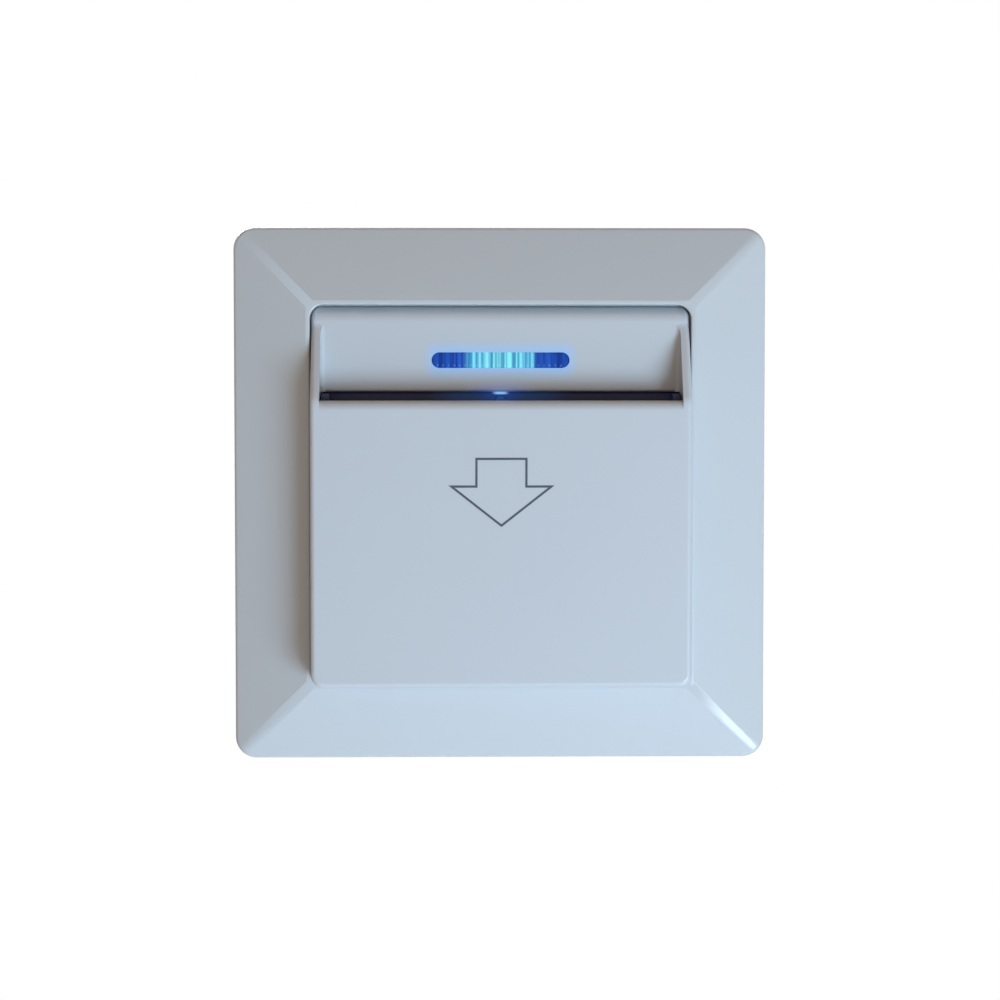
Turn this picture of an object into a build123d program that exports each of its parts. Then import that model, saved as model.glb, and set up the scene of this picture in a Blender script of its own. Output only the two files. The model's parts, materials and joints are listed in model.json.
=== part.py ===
from build123d import *
from math import hypot
import os

# A key card switch for a single square wall box, the kind that feeds a hotel room's lights
# while a card stands in its pocket.
# X runs to the right, Y into the wall and Z up. The wall's surface is the plane y = 0, so what
# stands in the room has a negative y. The origin is midway between the two wall screws.
# All lengths are millimetres.

# Clearances that pieces share
seat_play = 0.3
prong_play = 0.3
small_screw_play = 0.05
thread_play = 0.06
turning_play = 0.3
lead_play = 0.15
lens_play = 0.1
overrun = 1.0
tiny = 0.001

# Frame round the module
frame_width = 86.0
frame_corner = 3.5
frame_edge = 4.2
frame_rise = 5.0
frame_wall = 2.0
frame_lip = 0.7
frame_edge_round = 0.8
frame_lip_round = 0.3
skirt_wall = 1.4
rib_wall = 1.2
rib_spacing = 28.0
rib_clearance = 1.5
frame_prong_width = 7.0
frame_prong_wall = 1.6
frame_prong_spacing = 40.0
frame_prong_edge = 3.4

# Cover of the card module
module_width = 60.5
module_depth = 15.0
module_corner = 2.0
module_gap = 0.25
cover_wall = 1.45
cover_round = 0.8
front_wall = 2.0
slot_level = 15.25
slot_round = 1.55
slot_back_round = 0.4
floor_depth = 8.6
floor_wall = 1.6
floor_end = 16.6
slope_end = 27.2
slope_break = 3.0
slope_blend = 2.0
roll_radius = 2.5
cheek_blend = 0.8
cover_prong_width = 8.0
cover_prong_spacing = 17.0
cover_prong_inset = 0.35
prong_reach = 2.1

# Light window in the recess floor and its lens
window_length = 22.1
window_height = 2.5
window_level = 21.65
lens_skin = 0.8
lens_flange = 1.1
lens_groove_count = 12
lens_groove = 0.25

# Card pocket liner
card_width = 54.0
card_play = 0.3
liner_step = 0.2
liner_lip_wall = 0.8
liner_lip_height = 2.0
guide_lead = 0.5
rail_width = 3.0
rail_height = 2.2
rail_lead = 1.6
stop_wall = 1.5
standoff_height = 0.9
standoff_radius = 2.2
post_radius = 1.7
post_inset = 1.9
post_high = 12.0
post_low = -22.0
light_pipe_radius = 0.9
light_pipe_level = 15.2

# Mounting plate and the wall screws that it takes
plate_room = 2.0
plate_corner = 3.0
plate_wall = 2.5
plate_bead = 1.2
plate_bead_height = 1.0
plate_bead_width = 66.0
wall_screw_spacing = 60.3
wall_slot_width = 4.4
wall_slot_length = 6.8
wall_head_radius = 4.2
wall_head_height = 4.0

# Rear housing in the wall box
housing_width = 49.0
housing_corner = 3.0
housing_depth = 26.0
housing_wall = 2.0
housing_round = 0.8
flange_wall = 1.4
flange_land = 1.6
ear_spacing = 32.0
ear_width = 6.6
ear_reach = 3.9
ear_screw_inset = 1.5
vent_count = 6
vent_width = 1.6
vent_length = 13.0
vent_pitch = 4.2
vent_level = 12.0

# Circuit boards and what holds them
board_wall = 1.5
reader_board_width = 48.8
reader_board_corner = 1.0
reader_screw_inset = 4.6
power_board_level = 5.0
power_board_corner = 1.0
column_width = 5.6
coil_turns = 6
coil_pitch = 1.3
coil_track = 0.7
coil_track_wall = 0.1
coil_width = 33.0
coil_height = 29.0
coil_level = -6.5

# Small screws, all of one thread
small_thread = 1.0
small_head_radius = 1.6
small_head_height = 1.2
small_head_sink = 0.2
liner_screw_length = 5.0
housing_screw_length = 3.6
reader_screw_length = 3.2
power_screw_length = 6.0

# Wire terminals
terminal_count = 4
terminal_pitch = 10.0
terminal_level = -18.0
cage_width = 7.0
cage_height = 5.8
cage_wall = 1.0
cage_bar = 1.3
cage_round = 0.5
cage_lift = 0.5
cage_travel = 3.0
cage_play = 0.2
wire_space = 4.8
contact_wall = 1.0
contact_leg_wall = 0.8
contact_width = 4.4
contact_pin_width = 1.6
bay_bridge = 1.3
bay_back_wall = 1.0
terminal_screw_radius = 1.5
terminal_head_radius = 2.6
terminal_head_height = 2.0
driver_slot_width = 0.8
driver_slot_depth = 1.1
wire_entry_width = 5.0
pin_reach = 1.0

# Relay that switches the room's circuit
relay_length = 29.0
relay_width = 13.0
relay_height = 16.2
relay_x = -6.5
relay_level = -5.6
relay_case_wall = 0.8
relay_base_wall = 1.8
relay_fit = 0.2
relay_pin_width = 0.9
relay_pin_shares = ((-0.83, 0.62), (-0.83, -0.62), (0.68, 0), (-0.17, 0.62))
yoke_inset = 2.4
yoke_wall = 1.4
yoke_width = 9.0
yoke_height = 10.2
yoke_gap = 0.4
bobbin_width = 10.4
bobbin_flange = 0.8
bobbin_tube = 3.0
winding_radius = 4.8
core_radius = 2.0
pole_radius = 3.5
pole_wall = 0.8
armature_length = 11.2
armature_wall = 1.2
armature_gap = 0.1
armature_open_angle = 3.0
blade_wall = 0.3
blade_width = 5.0
blade_start = 4.6
blade_room = 4.8
blade_tip = 2.0
contact_radius = 1.3
contact_height = 0.6
contact_air = 0.05
strip_wall = 0.8
strip_width = 4.0
strip_left = 2.0
strip_room = 3.2

# Other components on the power board
component_round = 0.6
lead_width = 0.6
film_length = 18.0
film_width = 8.0
film_height = 13.5
film_x = -11.5
film_level = 7.2
film_lead_spacing = 15.0
electrolytic_radius = 5.0
electrolytic_height = 15.5
electrolytic_x = 4.5
electrolytic_level = 8.0
electrolytic_lead_spacing = 5.0
varistor_radius = 5.0
varistor_wall = 3.6
varistor_x = 13.0
varistor_level = -5.5
varistor_lift = 1.2
varistor_lead_spacing = 5.0
fuse_radius = 2.6
fuse_tube_radius = 2.3
fuse_length = 11.0
fuse_cap = 2.4
fuse_x = 18.8
fuse_level = -5.5
fuse_lead_spacing = 9.0
rectifier_width = 8.4
rectifier_height = 6.4
rectifier_wall = 3.3
rectifier_x = 15.6
rectifier_level = 4.6
regulator_width = 6.6
regulator_height = 6.0
regulator_wall = 2.3
regulator_tab = 1.4
regulator_tab_wall = 0.5
regulator_x = 13.4
regulator_level = 13.0
header_pin_count = 4
header_pin_spacing = 2.54
header_pin_width = 0.64
header_body_width = 2.5
header_body_wall = 2.5
header_x = -2.0
header_level = 18.0

# Chips and lamps on the reader board
chip_round = 0.2
chip_wall = 0.9
reader_chip_width = 7.0
reader_chip_x = 7.0
reader_chip_level = -8.0
control_chip_width = 5.0
control_chip_height = 6.2
control_chip_x = -8.0
control_chip_level = -6.0
crystal_length = 8.0
crystal_width = 3.6
crystal_x = 7.0
crystal_level = 2.0
lamp_width = 3.2
lamp_height = 1.4
lamp_wall = 0.7
lamp_count = 3
lamp_pitch = 5.2

# Depths worked out from the sizes above, all as y
room_front = -module_depth
pocket_front = room_front + front_wall
floor_front = -floor_depth
floor_back = floor_front + floor_wall
liner_front = floor_front + liner_step
liner_back = floor_back + liner_step
lip_back = liner_back + liner_lip_wall
reader_front = liner_back + standoff_height
reader_back = reader_front + board_wall
plate_front = -plate_wall
flange_front = plate_front - flange_wall
cover_back = plate_front - seat_play
frame_front = -(frame_edge + frame_rise)
housing_inner = housing_depth - housing_wall
power_front = power_board_level
power_back = power_front + board_wall
plate_head_seat = -(small_head_height + small_head_sink)

# Widths worked out from the sizes above
plate_width = frame_width - 2 * (frame_wall + plate_room)
frame_prong_row = plate_width / 2 - frame_prong_edge
module_half = module_width / 2
inner_half = module_half - cover_wall
liner_half = inner_half - seat_play
pocket_half = card_width / 2 + card_play
window_half = module_half + module_gap
skirt_half = window_half + skirt_wall
housing_half = housing_width / 2
housing_inner_half = housing_half - housing_wall
power_board_half = housing_inner_half - seat_play
post_x = liner_half - post_inset
reader_screw_x = reader_board_width / 2 - reader_screw_inset
column_screw = housing_inner_half - column_width / 2
ear_screw_z = housing_half + ear_reach - ear_screw_inset
cover_prong_wall = cover_wall - cover_prong_inset
cover_prong_row = module_half - cover_prong_inset - cover_prong_wall / 2

# Depths and heights inside a terminal
cage_front = power_back + cage_lift
contact_front = cage_front + cage_bar + wire_space
contact_back = contact_front + contact_wall
cage_bar_front = contact_back + cage_play
cage_back = cage_bar_front + cage_bar
bridge_front = cage_back + cage_travel + seat_play
terminal_head_seat = bridge_front + bay_bridge
bay_low = terminal_level - cage_height / 2 - seat_play
leg_low = terminal_level + cage_height / 2 + seat_play
bay_high = leg_low + contact_leg_wall
terminal_low = -(housing_inner_half - seat_play)
terminal_high = bay_high + bay_back_wall
terminal_places = [(n - (terminal_count - 1) / 2) * terminal_pitch for n in range(terminal_count)]

# Places inside the relay
relay_seat = power_back
relay_base_back = relay_seat + relay_base_wall
hinge_x = relay_x - relay_length / 2 + yoke_inset
hinge_y = relay_base_back + yoke_height
bobbin_x = hinge_x + yoke_wall + yoke_gap + bobbin_width / 2
bobbin_front = relay_base_back + yoke_wall
bobbin_back = hinge_y - pole_wall
blade_front = hinge_y + armature_gap + armature_wall
relay_room_right = relay_x + relay_length / 2 - relay_case_wall
blade_end = relay_room_right - blade_room
contact_x = blade_end - blade_tip

# Screw places as (x, z)
liner_posts = [(side * post_x, level) for side in (-1, 1) for level in (post_high, post_low)]
reader_screws = [(-reader_screw_x, post_high), (reader_screw_x, -reader_screw_x)]
housing_screws = [(side * ear_spacing / 2, end * ear_screw_z) for side in (-1, 1) for end in (-1, 1)]
power_screws = [(side * column_screw, column_screw) for side in (-1, 1)]

# Where leads pass through the power board, as (x, z)
film_leads = [(film_x + side * film_lead_spacing / 2, film_level) for side in (-1, 1)]
electrolytic_leads = [(electrolytic_x + side * electrolytic_lead_spacing / 2, electrolytic_level)
                      for side in (-1, 1)]
varistor_leads = [(varistor_x, varistor_level + side * varistor_lead_spacing / 2) for side in (-1, 1)]
fuse_leads = [(fuse_x, fuse_level + side * fuse_lead_spacing / 2) for side in (-1, 1)]
relay_pin_centres = [(relay_x + across * relay_length / 2, relay_level + up * relay_width / 2)
                     for across, up in relay_pin_shares]
header_places = [header_x + (n - (header_pin_count - 1) / 2) * header_pin_spacing
                 for n in range(header_pin_count)]


def drawing_plane(y):
    """A plane parallel to the wall at depth y, with X right, Z up and its normal to the room."""
    return Plane(origin=(0, y, 0), x_dir=(1, 0, 0), z_dir=(0, -1, 0))


def stand(outline, first, second, x=0, z=0):
    """An outline pushed square to the wall between two depths."""
    back = max(first, second)
    return extrude(drawing_plane(back) * Pos(x, z) * outline, back - min(first, second))


def panel(width, height, first, second, radius=0, x=0, z=0):
    """A flat piece parallel to the wall between two depths, with round corners."""
    outline = RectangleRounded(width, height, radius) if radius else Rectangle(width, height)
    return stand(outline, first, second, x, z)


def pillar(radius, first, second, x=0, z=0):
    """A round piece square to the wall between two depths."""
    return stand(Circle(radius), first, second, x, z)


def obround(length, width, first, second, x=0, z=0):
    """A piece with round ends, its length along X, between two depths."""
    return stand(SlotOverall(length, width), first, second, x, z)


def block(x_span, y_span, z_span):
    """A box between two values on each axis."""
    spans = (x_span, y_span, z_span)
    return Pos(*[(a + b) / 2 for a, b in spans]) * Box(*[abs(b - a) for a, b in spans])


def around(middle, width):
    """The two values that lie half a width each side of a middle."""
    return (middle - width / 2, middle + width / 2)


def taper(wide, narrow, wide_y, narrow_y):
    """A square piece with four flat sloping sides, from one width and depth to another."""
    inset = (wide - narrow) / 2
    wedge = Wedge(wide, wide_y - narrow_y, wide, inset, inset, wide - inset, wide - inset)
    return Pos(0, (wide_y + narrow_y) / 2, 0) * Rot(180, 0, 0) * wedge


def side_outline(*points):
    """A closed outline of straight lines through points given as (y, z)."""
    return make_face(Polyline(*points, close=True))


def push_across(outline, half_width):
    """A side outline pushed both ways along X."""
    return extrude(Plane.YZ * outline, half_width, both=True)


def round_corner(outline, y, z, radius):
    """A side outline with its corner nearest a point rounded."""
    corner = min(outline.vertices(), key=lambda v: hypot(v.X - y, v.Y - z))
    return fillet(corner, radius)


def quarter_turns(shape):
    """The four copies of a shape round the Y axis."""
    return [Rot(0, quarter * 90, 0) * shape for quarter in range(4)]


def rim(shape, y):
    """The edges of a shape that lie in the plane at depth y."""
    return shape.edges().filter_by_position(Axis.Y, y - tiny, y + tiny)


def save(name, *solids):
    """Write one node, which may be a group of separate solids."""
    shape = solids[0] if len(solids) == 1 else Compound(children=list(solids))
    export_step(shape, os.path.join("parts", name + ".step"))


def small_screw(x, z, seat, length, way):
    """A pan head screw. Its head stands on the depth seat, and way is 1 where its shank
    points into the wall and -1 where it points to the room."""
    shank = pillar(small_thread, seat, seat + way * length, x, z)
    return shank + pillar(small_head_radius, seat, seat - way * small_head_height, x, z)


def small_hole(x, z, first, second):
    """The hole that a small screw's shank passes through."""
    return pillar(small_thread + small_screw_play, first, second, x, z)


def head_room(side):
    """The space that a wall screw's head takes in front of the mounting plate."""
    return obround(2 * wall_head_radius + wall_slot_length - wall_slot_width, 2 * wall_head_radius,
                   plate_front + overrun, plate_front - wall_head_height, x=side * wall_screw_spacing / 2)


# Frame: a hollow square ring with a short edge, four sloping bands and a skirt round the window
def make_front_frame():
    land = 2 * (window_half + frame_lip)
    window_corner = module_corner + module_gap
    outside = panel(frame_width, frame_width, 0, -frame_edge)
    outside += taper(frame_width, land, -frame_edge, frame_front)
    mitres = [edge for edge in outside.edges()
              if abs(abs(edge.center().X) - abs(edge.center().Z)) < tiny and edge.center().Y < tiny - frame_edge]
    outside = fillet(mitres, frame_corner) & panel(frame_width, frame_width, 0, frame_front, frame_corner)
    outside = fillet(rim(outside, -frame_edge), frame_edge_round)

    # The hollow keeps the wall's thickness under the sloping bands
    slope = frame_rise / ((frame_width - land) / 2)
    hollow = frame_width - 2 * frame_wall
    low = frame_wall * (hypot(1, slope) - slope) - frame_edge
    high = low - slope * (hollow / 2 - skirt_half)
    space = panel(hollow, hollow, overrun, low)
    space += taper(hollow, 2 * skirt_half, low, high)
    space -= panel(2 * skirt_half, 2 * skirt_half, plate_front, high - overrun, window_corner + skirt_wall)
    body = outside - space

    # Stiffening ribs stop short of the mounting plate
    rib_low = plate_front - rib_clearance
    for side in (-1, 1):
        rib = block(around(side * rib_spacing / 2, rib_wall), (frame_front, rib_low),
                    (window_half + skirt_wall / 2, frame_width / 2 - frame_wall))
        for turned in quarter_turns(rib & outside):
            body += turned

    # Straight prongs grip slots in the mounting plate
    for end in (-1, 1):
        for side in (-1, 1):
            prong = panel(frame_prong_width, frame_prong_wall, plate_front + prong_reach, frame_front,
                          x=side * frame_prong_spacing / 2, z=end * frame_prong_row)
            body += prong & outside

    body -= panel(2 * window_half, 2 * window_half, overrun, frame_front - overrun, window_corner)
    lip = [edge for edge in rim(body, frame_front)
           if max(abs(edge.center().X), abs(edge.center().Z)) < window_half + frame_lip / 2]
    body = fillet(lip, frame_lip_round)
    return body - head_room(-1) - head_room(1)


# Cover: a shallow box whose upper half is a recess between two sloping cheeks
def cover_outside():
    """The module's outer form: a side outline pushed along X and trimmed to round corners."""
    outline = side_outline(
        (cover_back, -module_half),
        (room_front, -module_half),
        (room_front, slot_level),
        (floor_front, slope_end),
        (floor_front, module_half),
        (cover_back, module_half),
    )
    outline = round_corner(outline, room_front, slot_level, slope_break)
    outline = round_corner(outline, floor_front, slope_end, slope_blend)
    outline = round_corner(outline, floor_front, module_half, roll_radius)
    body = push_across(outline, module_half)
    room_side = [edge for edge in body.edges()
                 if abs(abs(edge.center().X) - module_half) < tiny
                 and edge.bounding_box().min.Y < cover_back - tiny
                 and edge.bounding_box().size.Z > tiny]
    body = fillet(room_side, cover_round)
    front_view = panel(module_width, module_width, cover_back, room_front, module_corner)
    return body & fillet(rim(front_view, room_front), cover_round)


def make_card_cover():
    outside = cover_outside()
    body = outside - block((-inner_half, inner_half), (room_front - overrun, cover_back + overrun),
                           (-inner_half, module_half + overrun))

    # The front wall ends in a rounded edge that the card slides over
    front = side_outline(
        (pocket_front, -inner_half - cover_wall / 2),
        (room_front, -inner_half - cover_wall / 2),
        (room_front, slot_level),
        (pocket_front, slot_level),
    )
    front = round_corner(front, room_front, slot_level, slot_round)
    front = round_corner(front, pocket_front, slot_level, slot_back_round)
    body += push_across(front, inner_half)

    # The recess floor rolls over at the top into the upper wall
    floor = side_outline(
        (floor_front, floor_end),
        (floor_front, module_half),
        (cover_back, module_half),
        (cover_back, inner_half),
        (floor_back, inner_half),
        (floor_back, floor_end),
    )
    floor = round_corner(floor, floor_front, module_half, roll_radius)
    floor = round_corner(floor, floor_back, inner_half, roll_radius - cover_wall)
    floor = round_corner(floor, floor_front, floor_end, slot_back_round)
    body += push_across(floor, inner_half)

    # A hollow blend joins the floor to each cheek
    for side in (-1, 1):
        corner = block((side * inner_half, side * (inner_half - cheek_blend)),
                       (floor_front - cheek_blend, floor_front), (floor_end, slope_end))
        scoop = Pos(side * (inner_half - cheek_blend), floor_front - cheek_blend, 0)
        body += (corner - scoop * Cylinder(cheek_blend, frame_width)) & outside

    # The light window has a wider seat behind it for the lens
    body -= obround(window_length, window_height, floor_back + overrun, floor_front - overrun,
                    z=window_level)
    body -= obround(window_length + 2 * lens_flange, window_height + 2 * lens_flange,
                    floor_back + overrun, floor_front + lens_skin, z=window_level)

    # Prongs for the mounting plate, and room for the heads of the wall screws
    for end in (-1, 1):
        for side in (-1, 1):
            body += panel(cover_prong_width, cover_prong_wall, plate_front + prong_reach, cover_back,
                          x=side * cover_prong_spacing / 2, z=end * cover_prong_row)
    return body - head_room(-1) - head_room(1)


def make_led_lens():
    """A clear bar that fills the window, with a flange behind it and fine upright grooves."""
    bar_length = window_length - 2 * lens_play
    bar_height = window_height - 2 * lens_play
    lens = obround(bar_length, bar_height, floor_back, floor_front, z=window_level)
    lens += obround(bar_length + 2 * lens_flange, bar_height + 2 * lens_flange,
                    floor_back, floor_front + lens_skin, z=window_level)
    pitch = (bar_length - bar_height) / lens_groove_count
    for n in range(lens_groove_count):
        middle = (n - (lens_groove_count - 1) / 2) * pitch
        lens -= block(around(middle, 2 * lens_groove), (floor_back - lens_groove, floor_back + overrun),
                      around(window_level, bar_height))
    return lens


# Liner: the dark rear wall of the card pocket, with side guides, rails and a bottom stop
def make_card_liner():
    top = floor_end - seat_play
    body = block((-liner_half, liner_half), (liner_front, liner_back), (-liner_half, top))

    # A thin lip carries on upward behind the recess floor
    body += block((-liner_half, liner_half), (liner_back, lip_back), around(top, 2 * liner_lip_height))

    # Side guides stop just short of the cover's front wall, and rails hold the card forward
    guide_front = pocket_front + seat_play
    for side in (-1, 1):
        body += block((side * pocket_half, side * liner_half), (guide_front, liner_front),
                      (-liner_half, top))
        rail_front = liner_front - rail_height
        rail = side_outline(
            (liner_front, -liner_half),
            (rail_front, -liner_half),
            (rail_front, top - guide_lead - rail_height * rail_lead),
            (liner_front, top - guide_lead),
        )
        middle = side * (pocket_half - rail_width / 2)
        body += Pos(middle, 0, 0) * push_across(rail, rail_width / 2)
    body += block((-liner_half, liner_half), (guide_front, liner_front),
                  (-liner_half, stop_wall - liner_half))

    # Posts for the screws from the mounting plate, and low seats for the reader board
    for x, z in liner_posts:
        body += pillar(post_radius, liner_back, plate_front, x, z)
        body -= small_hole(x, z, plate_front, plate_head_seat - liner_screw_length - small_head_sink)
    for x, z in reader_screws:
        body += pillar(standoff_radius, liner_back, reader_front, x, z)
        body -= small_hole(x, z, reader_front, reader_back - reader_screw_length - small_head_sink)

    # The light pipe's hole, and a hollow behind it for its lamp
    body -= pillar(light_pipe_radius + small_screw_play, liner_front - overrun, liner_back + overrun,
                   z=light_pipe_level)
    hollow_low = light_pipe_level - lamp_height - liner_lip_height
    hollow_high = light_pipe_level + lamp_height / 2 + seat_play
    body -= block(around(0, lamp_width + 2 * seat_play), (liner_back, lip_back + overrun),
                  (hollow_low, hollow_high))
    return body


def make_light_pipe():
    pipe = pillar(light_pipe_radius, liner_front, reader_front - lamp_wall - lens_play, z=light_pipe_level)
    return chamfer(rim(pipe, liner_front), chip_round)


# Mounting plate: takes the wall screws and carries everything else
def make_mounting_plate():
    opening = housing_width + 2 * seat_play
    body = panel(plate_width, plate_width, 0, plate_front, plate_corner)
    bead_out = plate_bead_width + plate_bead
    bead_in = plate_bead_width - plate_bead
    bead_front = plate_front - plate_bead_height
    body += (panel(bead_out, bead_out, plate_front, bead_front, plate_corner)
             - panel(bead_in, bead_in, plate_front + overrun, bead_front - overrun, plate_corner - plate_bead))
    body -= panel(opening, opening, overrun, bead_front - overrun, housing_corner + seat_play)
    for side in (-1, 1):
        bead_room = head_room(side) & panel(frame_width, frame_width, plate_front, bead_front - overrun)
        body -= bead_room
        body -= obround(wall_slot_length, wall_slot_width, overrun, bead_front,
                        x=side * wall_screw_spacing / 2)
        for end in (-1, 1):
            body -= panel(cover_prong_width + 2 * prong_play, cover_prong_wall + 2 * prong_play, overrun,
                          bead_front - overrun, x=side * cover_prong_spacing / 2, z=end * cover_prong_row)
            body -= panel(frame_prong_width + 2 * prong_play, frame_prong_wall + 2 * prong_play, overrun,
                          bead_front - overrun, x=side * frame_prong_spacing / 2, z=end * frame_prong_row)
    for x, z in liner_posts:
        body -= small_hole(x, z, overrun, plate_front - overrun)
        body -= pillar(small_head_radius + seat_play, overrun, plate_head_seat, x, z)
    for x, z in housing_screws:
        body -= small_hole(x, z, overrun, plate_front - overrun)
    return body


# Rear housing: a deep square tub that drops through the plate and hangs by its flange
def make_rear_housing():
    inner = 2 * housing_inner_half
    inner_corner = housing_corner - housing_wall
    body = panel(housing_width, housing_width, housing_depth, flange_front, housing_corner)
    body = chamfer(rim(body, housing_depth), housing_round)
    land = housing_width + 2 * flange_land
    body += panel(land, land, plate_front, flange_front, housing_corner + flange_land)
    for side in (-1, 1):
        body += panel(ear_width, 2 * (housing_half + ear_reach), plate_front, flange_front,
                      x=side * ear_spacing / 2)
    body -= panel(inner, inner, housing_inner, flange_front - overrun, inner_corner)

    # Corner columns for the power board's screws
    for x, z in power_screws:
        column = block(around(x, column_width), (power_back, housing_inner), around(z, column_width))
        body += column
        body -= small_hole(x, z, power_back, power_front + power_screw_length + small_head_sink)

    # Wire entries below, driver holes and vents in the back
    for x in terminal_places:
        body -= block(around(x, wire_entry_width), (cage_front + cage_bar, contact_front),
                      (-housing_half - overrun, -housing_inner_half + overrun))
        body -= pillar(terminal_head_radius + turning_play, housing_inner - overrun, housing_depth + overrun,
                       x, terminal_level)
    for n in range(vent_count):
        middle = (n - (vent_count - 1) / 2) * vent_pitch
        body -= panel(vent_width, vent_length, housing_inner - overrun, housing_depth + overrun,
                      x=middle, z=vent_level)
    for x, z in housing_screws:
        body -= small_hole(x, z, plate_front + overrun, flange_front - overrun)
    for x, z in liner_posts:
        body -= pillar(post_radius + seat_play, plate_front, flange_front - overrun, x, z)
    flange_room = panel(frame_width, frame_width, plate_front, flange_front)
    return body - (head_room(-1) & flange_room) - (head_room(1) & flange_room)


# Reader board with its flat spiral antenna, chips and lamps
def make_reader_board():
    board = panel(reader_board_width, reader_board_width, reader_back, reader_front, reader_board_corner)
    for x, z in reader_screws:
        board -= small_hole(x, z, reader_back + overrun, reader_front - overrun)
    for x in header_places:
        hole = header_pin_width + 2 * lead_play
        board -= panel(hole, hole, reader_back + overrun, reader_front - overrun, x=x, z=header_level)
    return board


def make_antenna_coil():
    """One unbroken flat track that winds inwards on the board's front, each turn a pitch smaller."""
    points = []
    for turn in range(coil_turns):
        right = coil_width / 2 - turn * coil_pitch
        upper = coil_height / 2 - turn * coil_pitch
        points += [(-right, -upper), (right, -upper), (right, upper), (-right, upper)]
        points.append((-right, -upper + coil_pitch))
        points.append((-right + coil_pitch, -upper + coil_pitch))
    corners = []
    for point in points:
        if not corners or point != corners[-1]:
            corners.append(point)
    tracks = [Pos((a[0] + b[0]) / 2, (a[1] + b[1]) / 2)
              * Rectangle(abs(a[0] - b[0]) + coil_track, abs(a[1] - b[1]) + coil_track)
              for a, b in zip(corners, corners[1:])]
    outline = tracks[0].fuse(*tracks[1:]).clean()
    return stand(outline, reader_front, reader_front - coil_track_wall, z=coil_level)


def chip(width, height, x, z):
    """A flat package on the back of the reader board."""
    body = panel(width, height, reader_back, reader_back + chip_wall, x=x, z=z)
    return chamfer(rim(body, reader_back + chip_wall), chip_round)


def lamp(x, z):
    """A small lamp on the front of the reader board."""
    return panel(lamp_width, lamp_height, reader_front, reader_front - lamp_wall, x=x, z=z)


# Board to board header
def make_header_bodies():
    length = header_pin_count * header_pin_spacing
    lower = panel(length, header_body_width, power_front, power_front - header_body_wall,
                  x=header_x, z=header_level)
    upper = panel(length, header_body_width, reader_back, power_front - header_body_wall,
                  x=header_x, z=header_level)
    for x in header_places:
        hole = header_pin_width + 2 * small_screw_play
        cut = panel(hole, hole, power_front + overrun, reader_back - overrun, x=x, z=header_level)
        lower -= cut
        upper -= cut
    return lower, upper


def make_header_pins():
    return [panel(header_pin_width, header_pin_width, power_back + pin_reach, reader_front + seat_play,
                  x=x, z=header_level) for x in header_places]


# Power board: every lead and pin that crosses it has its own hole
def make_power_board():
    board = panel(2 * power_board_half, 2 * power_board_half, power_back, power_front, power_board_corner)
    for x, z in power_screws:
        board -= small_hole(x, z, power_back + overrun, power_front - overrun)
    for x, z in film_leads + electrolytic_leads + varistor_leads + fuse_leads:
        hole = lead_width + 2 * lead_play
        board -= panel(hole, hole, power_back + overrun, power_front - overrun, x=x, z=z)
    pin = relay_pin_width + 2 * lead_play
    for x, z in relay_pin_centres:
        board -= panel(pin, pin, power_back + overrun, power_front - overrun, x=x, z=z)
    hole = header_pin_width + 2 * lead_play
    for x in header_places:
        board -= panel(hole, hole, power_back + overrun, power_front - overrun, x=x, z=header_level)
    for x in terminal_places:
        board -= panel(contact_pin_width + 2 * lead_play, contact_leg_wall + 2 * lead_play,
                       power_back + overrun, power_front - overrun, x=x, z=bay_high - contact_leg_wall / 2)
    return board


# Terminals: a block with four bays, each with a fixed contact, a rising cage and its screw
def make_terminal_body():
    length = terminal_pitch * terminal_count
    body = block(around(0, length), (power_back, housing_inner), (terminal_low, terminal_high))
    for x in terminal_places:
        body -= block(around(x, cage_width + 2 * seat_play), (power_back - overrun, bridge_front),
                      (bay_low, bay_high))
        body -= pillar(terminal_screw_radius + turning_play, bridge_front - overrun,
                       terminal_head_seat + overrun, x, terminal_level)
        body -= pillar(terminal_head_radius + turning_play, terminal_head_seat, housing_inner + overrun,
                       x, terminal_level)
        body -= block(around(x, wire_entry_width), (cage_front + cage_bar, contact_front),
                      (terminal_low - overrun, bay_low + overrun))
    return body


def make_terminal_contact(x):
    """A bent strip: a flat landing inside the cage, a leg to the board and a pin through it."""
    middle = bay_high - contact_leg_wall / 2
    strip = block(around(x, contact_width), (contact_front, contact_back), (bay_low + seat_play, bay_high))
    strip += block(around(x, contact_width), (power_back, contact_back), (leg_low, bay_high))
    strip += panel(contact_pin_width, contact_leg_wall, power_back, power_front - pin_reach, x=x, z=middle)
    return strip


def make_terminal_cage(x):
    """A square loop round the contact and the wire, with a threaded bar towards the screw's head."""
    cage = block(around(x, cage_width), (cage_front, cage_back), around(terminal_level, cage_height))
    cage = chamfer(cage.edges().filter_by(Axis.Z), cage_round)
    cage -= block(around(x, cage_width - 2 * cage_wall), (cage_front + cage_bar, cage_bar_front),
                  around(terminal_level, cage_height + 2 * overrun))
    return cage - pillar(terminal_screw_radius + thread_play, cage_bar_front - overrun, cage_back + overrun,
                         x, terminal_level)


def make_terminal_screw(x):
    head_back = terminal_head_seat + terminal_head_height
    screw = pillar(terminal_head_radius, terminal_head_seat, head_back, x, terminal_level)
    screw += pillar(terminal_screw_radius, terminal_head_seat, contact_back + cage_play / 2, x, terminal_level)
    return screw - panel(2 * terminal_head_radius + overrun, driver_slot_width, head_back + overrun,
                         head_back - driver_slot_depth, x=x, z=terminal_level)


# Relay: a coil on a core pulls a hinged armature, whose blade closes the contact
def make_relay_case():
    back = relay_seat + relay_height
    case = panel(relay_length, relay_width, relay_seat, back, component_round, x=relay_x, z=relay_level)
    case = chamfer(rim(case, back), component_round / 2)
    return case - panel(relay_length - 2 * relay_case_wall, relay_width - 2 * relay_case_wall,
                        relay_seat - overrun, back - relay_case_wall, x=relay_x, z=relay_level)


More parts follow.
